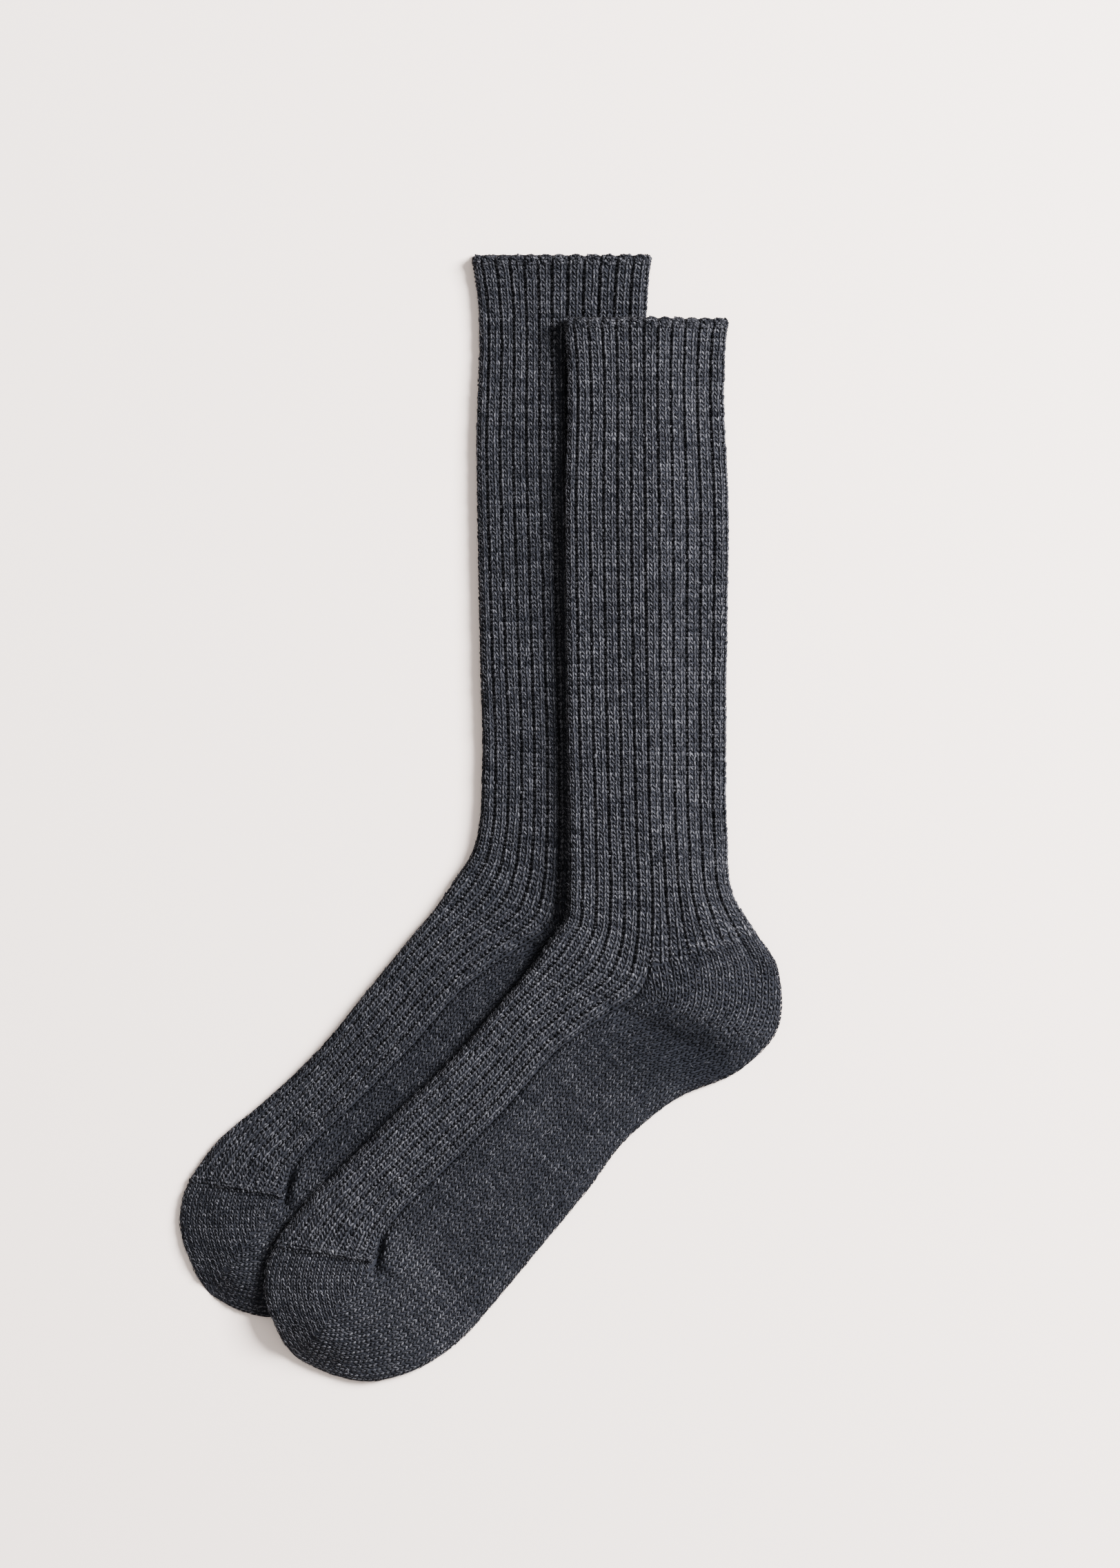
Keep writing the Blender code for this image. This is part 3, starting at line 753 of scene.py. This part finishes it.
def rim_knobs(sock, seed):
    """The cuff's turned edge: rows of small loops over the upper rim and along the lower one."""
    rng = np.random.default_rng(seed)
    rows = []
    ring = rings_at(sock, np.zeros(1))
    reach = ring["half"][0] * RIM_REACH
    for number, (at, sunk) in enumerate(RIM_ROWS):
        way = np.arange(-reach + 0.3 * (number % 3), ring["round"][0] + reach, RIM_STEP)
        way = way + rng.normal(0, KNOB_STRAY, len(way))
        at = np.full(len(way), at) + rng.normal(0, KNOB_STRAY, len(way))
        across, along, outward = ways_on(sock, at, way, sunk, 0.3)
        outward = unit(outward + np.array([0, 1.0, 0]) * min(sunk, 1.2))
        middle = skin(sock, at, way, sunk)
        rows.append(knobs(middle, across + 0.4 * along, outward, RIM_KNOB, RIM_PAINTED_SHADE, rng))
    width = ring["width"][0]
    for rise in LOWER_RIM_ROWS:
        across = np.arange(1.2, width - 1.0, RIM_STEP) + rng.normal(0, KNOB_STRAY)
        plan = plan_point(rings_at(sock, np.zeros(len(across))), across)
        plan[:, 1] += RIM_PEEK * (1 - across / width) - 0.25 * abs(rise - 1.5) - RIM_BACK
        middle = np.column_stack([plan, rise + lift_of(sock, plan)])
        along = np.tile([1.0, 0, 0], (len(across), 1))
        outward = np.tile(unit(np.array([[0, 1.0, 0.8 * (rise - 0.8)]])), (len(across), 1))
        rows.append(knobs(middle, along, outward, RIM_KNOB, LOWER_RIM_PAINTED_SHADE, rng))
    return joined(rows)


# ---- meshes

def yarn_mesh(name, points, faces, strands):
    """A small form for every leg or fibre; its strand says where on the yarn a point lies."""
    mesh = bpy.data.meshes.new(name)
    mesh.from_pydata(points, [], faces)
    strand = mesh.attributes.new("strand", "FLOAT_VECTOR", "POINT")
    for place, value in enumerate(strands):
        strand.data[place].vector = value
    mesh.update()
    return mesh


def leg_mesh():
    """One leg of yarn, a unit long, wide and high: a spindle with a broad, low top."""
    stops = ((-0.22, 0.92, 0.05), (0.22, 0.92, -0.04))
    section = ((0.5, 0.2), (0.32, -0.36), (-0.32, -0.36), (-0.5, 0.2))
    points = [(-0.5, 0.0, 0.22)]
    for way, share, lift in stops:
        points += [(way, y * share, z * share + lift * 0.6) for y, z in section]
    points.append((0.5, 0.0, 0.1))
    faces = []
    sides = len(section)
    for side in range(sides):
        following = (side + 1) % sides
        faces.append((0, 1 + side, 1 + following))
        for stop in range(len(stops) - 1):
            low = 1 + stop * sides
            faces.append((low + side, low + sides + side, low + sides + following, low + following))
        low = 1 + (len(stops) - 1) * sides
        faces.append((low + side, len(points) - 1, low + following))
    strands = [(x, 0.7 * x - 2 * y, z) for x, y, z in points]
    return yarn_mesh("yarn leg", points, faces, strands)


def fibre_mesh():
    """One loose fibre, a unit long, wide and high: a bent three-sided spindle."""
    section = ((-0.5, -0.1), (0.5, -0.1), (0.0, 0.1))
    points = [(-0.5, 0.0, 0.0)]
    for way, side in ((-0.2, 1.0), (0.2, -1.0)):
        points += [(way, y + side, z * 0.3 + 0.7) for y, z in section]
    points.append((0.5, 0.0, 0.2))
    faces = []
    for side in range(3):
        following = (side + 1) % 3
        faces.append((0, 1 + following, 1 + side))
        faces.append((1 + side, 1 + following, 4 + following, 4 + side))
        faces.append((4 + side, 4 + following, 7))
    return yarn_mesh("loose fibre", points, faces, [(0.0, 0.0, 0.3)] * len(points))


def add(name, data):
    """Puts a new object into the scene."""
    made = bpy.data.objects.new(name, data)
    bpy.context.scene.collection.objects.link(made)
    return made


def mesh_object(name, points, faces, material):
    """A smooth-shaded mesh at the origin, its points given in millimetres."""
    mesh = bpy.data.meshes.new(name)
    mesh.from_pydata((np.asarray(points) * MM).tolist(), [], faces)
    mesh.materials.append(material)
    mesh.shade_smooth()
    mesh.update()
    return add(name, mesh)


def node(tree, kind, links=None, **settings):
    """Adds a node with its settings and links. A link's key is an input's name or number."""
    made = tree.nodes.new(kind)
    for key, value in settings.items():
        setattr(made, key, value)
    for key, value in (links or {}).items():
        socket = made.inputs[key]
        if isinstance(value, bpy.types.NodeSocket):
            tree.links.new(value, socket)
        else:
            socket.default_value = value
    return made


def stitch_tree():
    """Geometry Nodes: a leg of yarn on every point, turned and sized by the point's values."""
    tree = bpy.data.node_groups.new("stitches", "GeometryNodeTree")
    face = tree.interface
    face.new_socket("Geometry", in_out="INPUT", socket_type="NodeSocketGeometry")
    face.new_socket("Yarn Leg", in_out="INPUT", socket_type="NodeSocketObject")
    face.new_socket("Wool", in_out="INPUT", socket_type="NodeSocketMaterial")
    face.new_socket("Geometry", in_out="OUTPUT", socket_type="NodeSocketGeometry")
    given = node(tree, "NodeGroupInput").outputs
    leg = node(tree, "GeometryNodeObjectInfo", {"Object": given["Yarn Leg"]})
    values = {}
    for name in ("along", "outward", "size"):
        values[name] = node(tree, "GeometryNodeInputNamedAttribute", {"Name": name},
                            data_type="FLOAT_VECTOR").outputs[0]
    turn = node(tree, "FunctionNodeAxesToRotation", {0: values["outward"], 1: values["along"]},
                primary_axis="Z", secondary_axis="X")
    placed = node(tree, "GeometryNodeInstanceOnPoints",
                  {"Points": given["Geometry"], "Instance": leg.outputs["Geometry"],
                   "Rotation": turn.outputs[0], "Scale": values["size"]})
    real = node(tree, "GeometryNodeRealizeInstances", {"Geometry": placed.outputs[0]})
    shaded = node(tree, "GeometryNodeSetMaterial", {"Geometry": real.outputs[0],
                                                    "Material": given["Wool"]})
    node(tree, "NodeGroupOutput", {"Geometry": shaded.outputs[0]})
    return tree


def bake_cells(mesh, leg):
    """The map that materials are baked through: a square of its own for every leg of yarn."""
    sides = (len(leg.vertices) - 2) // 2
    tips = (0, len(leg.vertices) - 1)
    corners = []
    for number, face in enumerate(leg.polygons):
        side = number // 3
        for point in face.vertices:
            beside = 0.5 if point in tips else float((point - 1) % sides != side)
            corners.append((leg.vertices[point].co.x + 0.5, (side + beside) / sides))
    count = len(mesh.loops) // len(corners)
    across = int(np.ceil(np.sqrt(count)))
    cell = np.column_stack([np.arange(count) % across, np.arange(count) // across])
    places = (cell[:, None] + CELL_EDGE + (1 - 2 * CELL_EDGE) * np.array(corners)) / across
    layer = mesh.uv_layers.new(name="OFBake")
    layer.data.foreach_set("uv", places.astype(np.float32).ravel())


def rest_on_floor(mesh, corners):
    """Lifts each leg of yarn that would reach below the floor."""
    places = np.empty(len(mesh.vertices) * 3, np.float32)
    mesh.vertices.foreach_get("co", places)
    legs = places.reshape(-1, corners, 3)
    legs[:, :, 2] += np.maximum(-legs[:, :, 2].min(axis=1), 0)[:, None]
    mesh.vertices.foreach_set("co", places)


def knit(name, legs, tree, leg_object, material):
    """One area's stitches as a plain mesh."""
    count = len(legs["tone"])
    mesh = bpy.data.meshes.new(name + " points")
    mesh.vertices.add(count)
    mesh.vertices.foreach_set("co", (legs["middle"] * MM).astype(np.float32).ravel())
    for key, kind, width in (("along", "FLOAT_VECTOR", 3), ("outward", "FLOAT_VECTOR", 3),
                             ("size", "FLOAT_VECTOR", 3), ("tone", "FLOAT", 1)):
        layer = mesh.attributes.new(key, kind, "POINT")
        values = legs[key] * MM if key == "size" else legs[key]
        layer.data.foreach_set("vector" if width == 3 else "value",
                               values.astype(np.float32).ravel())
    points = add(name, mesh)
    modifier = points.modifiers.new("stitches", "NODES")
    modifier.node_group = tree
    sockets = {item.name: item.identifier for item in tree.interface.items_tree
               if item.in_out == "INPUT"}
    modifier[sockets["Yarn Leg"]] = leg_object
    modifier[sockets["Wool"]] = material
    evaluated = points.evaluated_get(bpy.context.evaluated_depsgraph_get())
    made = bpy.data.meshes.new_from_object(evaluated)
    made.name = name
    points.modifiers.remove(modifier)
    points.data = made
    bpy.data.meshes.remove(mesh)
    for key in ("along", "outward", "size"):
        if key in made.attributes:
            made.attributes.remove(made.attributes[key])
    rest_on_floor(made, len(leg_object.data.vertices))
    made.shade_smooth()
    bake_cells(made, leg_object.data)
    return points


def linear(colour):
    """An sRGB hex colour as linear red, green, blue and alpha."""
    values = [int(colour[place:place + 2], 16) / 255 for place in (1, 3, 5)]
    return [value / 12.92 if value <= 0.04045 else ((value + 0.055) / 1.055) ** 2.4
            for value in values] + [1.0]


def shell_outside(sock, stations):
    """The shell's outer points: ring by ring, over the top and back along the flat underside."""
    ring = rings_at(sock, stations)
    under = ring["half"] * np.pi / 2
    shares = np.linspace(0, 1, SHELL_TOP)
    ways = -under[:, None] + shares[None, :] * (ring["round"] + 2 * under)[:, None]
    top = skin(sock, np.repeat(stations, SHELL_TOP), ways.ravel(), SHELL_SINK)
    across = np.linspace(1, 0, SHELL_BOTTOM + 2)[1:-1]
    across = ring["half"][:, None] + across[None, :] * (ring["width"] - 2 * ring["half"])[:, None]
    plan = plan_point(rings_at(sock, np.repeat(stations, SHELL_BOTTOM)), across.ravel())
    plan[:SHELL_BOTTOM, 1] += RIM_PEEK * (1 - across[0] / ring["width"][0])
    bottom = np.column_stack([plan, lift_of(sock, plan)])
    return np.concatenate([top.reshape(len(stations), SHELL_TOP, 3),
                           bottom.reshape(len(stations), SHELL_BOTTOM, 3)], axis=1)


def shell_inside(sock, stations):
    """The hollow's points, ring by ring in the same order."""
    ring = rings_at(sock, stations)
    count = SHELL_TOP + SHELL_BOTTOM
    share = np.concatenate([np.linspace(0, 1, SHELL_TOP), np.linspace(1, 0, SHELL_BOTTOM + 2)[1:-1]])
    across = WALL_EDGE + share[None, :] * (ring["width"] - 2 * WALL_EDGE)[:, None]
    each = rings_at(sock, np.repeat(stations, count))
    plan = plan_point(each, across.ravel())
    is_top = np.tile(np.arange(count) < SHELL_TOP, len(stations))
    half = np.repeat(ring["half"], count)
    ends = np.clip(np.tile(np.minimum(share, 1 - share) / 0.02, len(stations)), 0, 1)
    roof = np.maximum(2 * half - WALL_UPPER, WALL_LOWER + 0.1)
    middle = (roof + WALL_LOWER) / 2
    height = middle + (np.where(is_top, roof, WALL_LOWER) - middle) * ends
    height = height * press(np.repeat(stations, count), across.ravel(), each)
    height = height - hollow(sock, plan) * np.clip(height / (2 * half), 0, 1)
    points = np.column_stack([plan, height + lift_of(sock, plan)])
    return points.reshape(len(stations), count, 3)


def tube_faces(first, rings, count, inward):
    """The faces between a tube's rings, its points numbered ring by ring."""
    faces = []
    for row in range(rings - 1):
        low = first + row * count
        high = low + count
        for left in range(count):
            right = (left + 1) % count
            face = (low + left, high + left, high + right, low + right)
            faces.append(face[::-1] if inward else face)
    return faces


def build_shell(sock, material):
    """The knitted tube under the stitches: outside, inside, rim and closed toe."""
    near_seam = STATION["toe seam"] + np.arange(-3.0, SEAM_SLANT + 5.0, SEAM_RING_STEP)
    stations = np.arange(0, STATIONS[-1] - NOSE, SHELL_STEP)
    stations = np.unique(np.concatenate([stations, near_seam]))
    nose = STATIONS[-1] - NOSE * (1 - np.linspace(0, 1, 4)[1:] ** 0.5)
    stations = np.concatenate([stations, nose[:-1], [STATIONS[-1] - NOSE_END]])
    inner_stations = stations[stations < STATION[HOLLOW_END]][::HOLLOW_RINGS]
    outer = shell_outside(sock, stations)
    inner = shell_inside(sock, inner_stations)
    count = SHELL_TOP + SHELL_BOTTOM
    base = len(stations) * count
    faces = tube_faces(0, len(stations), count, False)
    faces += tube_faces(base, len(inner_stations), count, True)
    for left in range(count):
        right = (left + 1) % count
        faces.append((left, right, base + right, base + left))
    faces.append(tuple(range(base - count, base)))
    last = base + (len(inner_stations) - 1) * count
    faces.append(tuple(range(last + count - 1, last - 1, -1)))
    points = np.concatenate([outer.reshape(-1, 3), inner.reshape(-1, 3)])
    return mesh_object(sock + "_shell", points, faces, material)


# ---- finishes

WOOL_DARK = "#0D0E12"
WOOL_LIGHT = "#8B8B93"
# painted shade: the shell is the same yarn, drawn darker, for it shows only in the gaps and grooves
# between stitches
SHELL_SHADED_DARK = "#1D1E23"


FLOOR_PALE = "#F3E4DC"
MELANGE_CONTRAST = 2.3
MELANGE_POWER = 2.2  # pale fibres are fewer than dark ones
FIBRE_DENSITY = 2300.0  # how fine the melange is, for each metre
MELANGE_LEVELS = (0.64, 1.70)  # sums of noise and tone that give the darkest and palest yarn
FLANK_PAINTED_SHADES = (-0.40, -0.20)  # painted shade at the foot of a leg's flank, and less on its top


def matt_material(name, colour, roughness, specular):
    """A plain matt material and its shader."""
    material = bpy.data.materials.new(name)
    material.use_nodes = True
    shader = material.node_tree.nodes["Principled BSDF"]
    shader.inputs["Base Color"].default_value = linear(colour)
    shader.inputs["Roughness"].default_value = roughness
    shader.inputs["Specular IOR Level"].default_value = specular
    return material, shader


def maths(tree, operation, *values):
    """A Math node's result."""
    return node(tree, "ShaderNodeMath", dict(enumerate(values)), operation=operation).outputs[0]


def melange_wool():
    """Charcoal melange wool yarn: dark fibres with pale ones among them, matt, faint sheen, and
    painted shade down each leg's flanks.
    """
    material, shader = matt_material("charcoal melange wool", WOOL_DARK, 0.9, 0.02)
    shader.inputs["Sheen Weight"].default_value = 0.004
    shader.inputs["Sheen Roughness"].default_value = 0.5
    tree = material.node_tree
    place = node(tree, "ShaderNodeTexCoord").outputs["Object"]
    strand = node(tree, "ShaderNodeAttribute", attribute_name="strand")
    twist = node(tree, "ShaderNodeVectorMath", {0: strand.outputs["Vector"], 1: (1.6, 2.6, 0.0)},
                 operation="MULTIPLY")
    spot = node(tree, "ShaderNodeVectorMath", {0: place, "Scale": FIBRE_DENSITY}, operation="SCALE")
    both = node(tree, "ShaderNodeVectorMath", {0: twist.outputs[0], 1: spot.outputs[0]},
                operation="ADD")
    fibre = node(tree, "ShaderNodeTexNoise", {"Vector": both.outputs[0], "Scale": 1.0,
                                              "Detail": 3.0, "Roughness": 0.7})
    tone = node(tree, "ShaderNodeAttribute", attribute_name="tone")
    parts = node(tree, "ShaderNodeSeparateXYZ", {0: strand.outputs["Vector"]})
    # painted shade: each leg is drawn darker from its top down to the foot of its flanks
    flank = node(tree, "ShaderNodeMapRange",
                 {"Value": parts.outputs["Z"], "From Min": -0.36, "From Max": 0.2,
                  "To Min": FLANK_PAINTED_SHADES[0], "To Max": FLANK_PAINTED_SHADES[1]})
    lit = maths(tree, "ADD", flank.outputs[0], tone.outputs["Fac"])
    total = maths(tree, "MULTIPLY_ADD", fibre.outputs[0], MELANGE_CONTRAST, lit)
    mix = node(tree, "ShaderNodeMapRange", {"Value": total, "From Min": MELANGE_LEVELS[0],
                                            "From Max": MELANGE_LEVELS[1]})
    pale = maths(tree, "POWER", mix.outputs[0], MELANGE_POWER)
    colour = node(tree, "ShaderNodeMix", {"Factor": pale, 6: linear(WOOL_DARK),
                                          7: linear(WOOL_LIGHT)}, data_type="RGBA")
    tree.links.new(colour.outputs[2], shader.inputs["Base Color"])
    return material


# ---- the pair

def build_sock(sock, tree, leg_object, fibre_object, wool, ground):
    """One sock: its shell and the stitches of each knitted area."""
    pieces = [build_shell(sock, ground)]
    for number, area in enumerate(areas()):
        legs = stitch_legs(sock, area, 11 + number)
        legs["tone"] = legs["tone"] + AREA_TONES.get(area[0], 0.0) + SOCK_TONES[sock]
        pieces.append(knit(f"{sock}_{area[0]}", legs, tree, leg_object, wool))
    for name, found in (("rim", rim_knobs(sock, 5)), ("purl", purl_knobs(sock, 8)),
                        ("seam", seam_knobs(sock, 6))):
        pieces.append(knit(f"{sock}_{name}", found, tree, leg_object, wool))
    fibres = loose_fibres(sock, FIBRES, 7)
    pieces.append(knit(sock + "_fibres", fibres, tree, fibre_object, wool))
    return pieces


def main():
    """Builds the pair, puts its pieces under the root body and hides the model's sock solids."""
    wool = melange_wool()
    # painted shade: the shell under the stitches is drawn darker than the yarn
    ground = matt_material("charcoal wool ground", SHELL_SHADED_DARK, 0.95, 0.02)[0]
    leg_object = bpy.data.objects.new("yarn leg", leg_mesh())
    fibre_object = bpy.data.objects.new("loose fibre", fibre_mesh())
    tree = stitch_tree()
    for sock in SOCKS:
        pieces = build_sock(sock, tree, leg_object, fibre_object, wool, ground)
        for piece in pieces:
            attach(piece, "root")
            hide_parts(sock)
    bpy.data.objects.remove(leg_object)
    bpy.data.objects.remove(fibre_object)


FLOOR_SIZE = 6000.0  # millimetres; the rest of the stage is in metres
VIEW_HEIGHT = 0.6367  # the photograph's height on the table
VIEW_MIDDLE = (0.0325, 0.014)
CAMERA_HEIGHT = 2.6
WINDOW_POWER = 430.0
WINDOW_SIZE = 1.1
WINDOW_PLACE = (1.75, 0.85, 1.55)
ROOM_LIGHT = 1.05
ROOM_WHITE = "#F2EFEC"
SENSOR = 36.0


def build_stage():
    """Floor, soft window light from the upper right, and the camera straight above."""
    half = FLOOR_SIZE / 2
    corners = [(-half, -half, 0), (half, -half, 0), (half, half, 0), (-half, half, 0)]
    pale = matt_material("pale matt floor", FLOOR_PALE, 0.9, 0.1)[0]
    mesh_object("floor", corners, [(0, 1, 2, 3)], pale)
    lamp = bpy.data.lights.new("window", "AREA")
    lamp.shape = "RECTANGLE"
    lamp.size = WINDOW_SIZE
    lamp.size_y = WINDOW_SIZE
    lamp.energy = WINDOW_POWER
    window = add("window", lamp)
    window.location = WINDOW_PLACE
    window.rotation_euler = (-window.location).to_track_quat("-Z", "Y").to_euler()
    world = bpy.data.worlds.new("soft room")
    world.use_nodes = True
    background = world.node_tree.nodes["Background"].inputs
    background["Color"].default_value = linear(ROOM_WHITE)
    background["Strength"].default_value = ROOM_LIGHT
    bpy.context.scene.world = world
    lens = bpy.data.cameras.new("camera")
    lens.sensor_fit = "VERTICAL"
    lens.sensor_height = SENSOR
    lens.lens = SENSOR * CAMERA_HEIGHT / VIEW_HEIGHT
    camera = add("camera", lens)
    camera.location = (*VIEW_MIDDLE, CAMERA_HEIGHT)
    bpy.context.scene.camera = camera


main()
build_stage()
